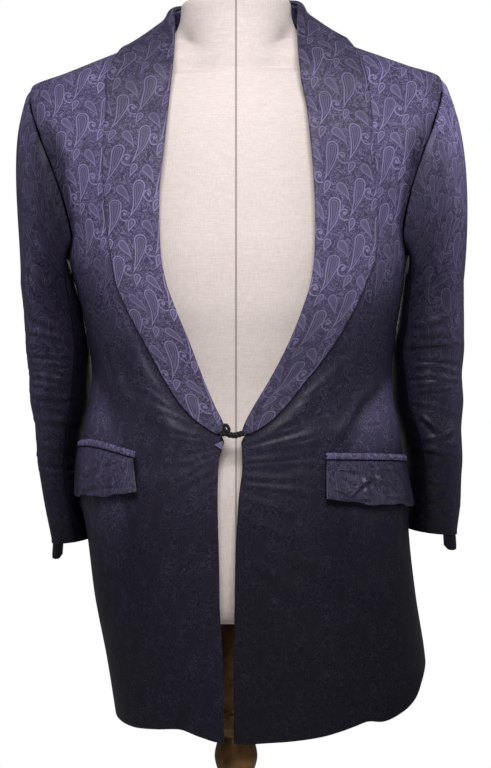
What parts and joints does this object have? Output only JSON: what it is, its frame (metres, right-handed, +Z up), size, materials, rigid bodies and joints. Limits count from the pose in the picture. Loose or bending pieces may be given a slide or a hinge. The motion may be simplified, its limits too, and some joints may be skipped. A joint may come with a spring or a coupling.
{
  "type": "day coat on a dress form",
  "caption": "Shawl collar day coat of satin brocade, linked at the waist, with flap pockets, on a limbless linen dress form with a round base.",
  "frame": {"origin": "centre of the stand's base on the floor", "axes": "+Z up the pole, -Y out of the coat's front, +X towards the wearer's left"},
  "size_m": [0.503, 0.29, 1.5125],
  "materials": {
    "brocade": "satin",
    "collar_brocade": "satin",
    "facing": "satin",
    "cord": "matte",
    "linen": "matte",
    "cap": "matte",
    "stand": "satin"
  },
  "bodies": {
    "root": {"coat_front_right": "brocade", "coat_front_left": "brocade", "coat_back_right": "brocade", "coat_back_left": "brocade", "topsleeve_right": "brocade", "topsleeve_left": "brocade", "undersleeve_right": "brocade", "undersleeve_left": "brocade", "shawl_collar_right": "collar_brocade", "shawl_collar_left": "collar_brocade", "collar_stand_right": "brocade", "collar_stand_left": "brocade", "pocket_flap_right": "brocade", "pocket_flap_left": "brocade", "pocket_welt_right": "brocade", "pocket_welt_left": "brocade", "cuff_tab_right": "brocade", "cuff_tab_left": "brocade", "facing_corner": "facing", "link_cord": "cord", "link_loop": "cord", "form_torso": "linen", "form_neck_cap": "cap", "stand_pole": "stand", "stand_base": "stand"}
  },
  "joints": []
}
